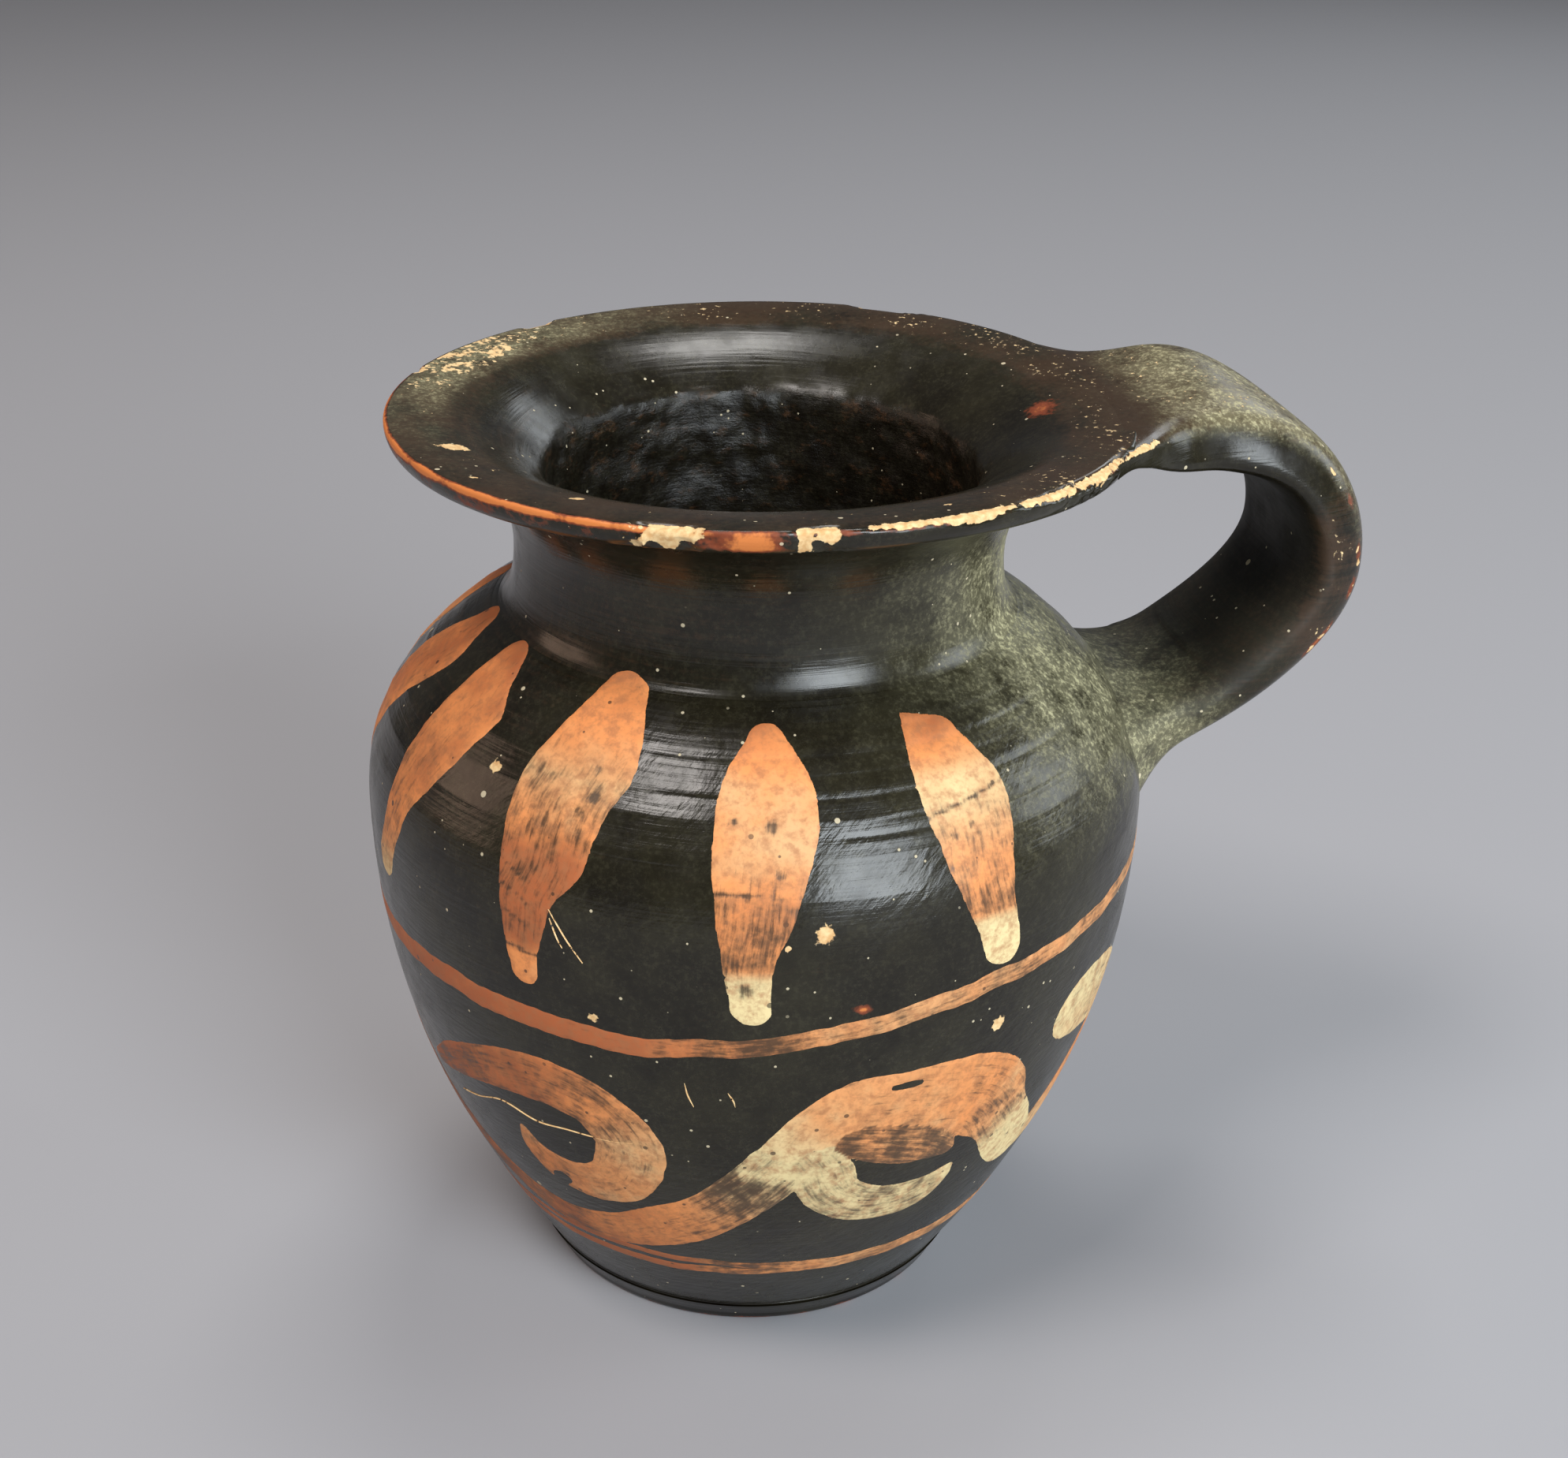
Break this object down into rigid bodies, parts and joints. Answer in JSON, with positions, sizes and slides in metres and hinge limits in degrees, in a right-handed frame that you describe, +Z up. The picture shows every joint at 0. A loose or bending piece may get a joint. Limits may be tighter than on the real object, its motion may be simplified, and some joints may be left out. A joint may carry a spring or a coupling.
{
  "type": "olpe",
  "caption": "Small jug of fired clay with a round belly, short neck, wide flat lip and one broad strap handle, for dipping and pouring.",
  "frame": {"origin": "centre of the flat resting face of the foot", "axes": "+Z up along the axis of the wheel, +X towards the handle"},
  "size_m": [0.0973, 0.0762, 0.0914],
  "materials": {
    "black_gloss": "olive-black semi-gloss slip, worn",
    "luting_slip": "smoothed clay under thin black gloss",
    "orange_paint": "matt brushed orange with dark streaks"
  },
  "bodies": {
    "root": {"foot": "black_gloss", "foot_slip": "luting_slip", "belly": "black_gloss", "neck_slip": "luting_slip", "neck_and_lip": "black_gloss", "handle": "black_gloss", "handle_upper_slip": "luting_slip", "handle_lower_slip": "luting_slip"}
  },
  "joints": []
}
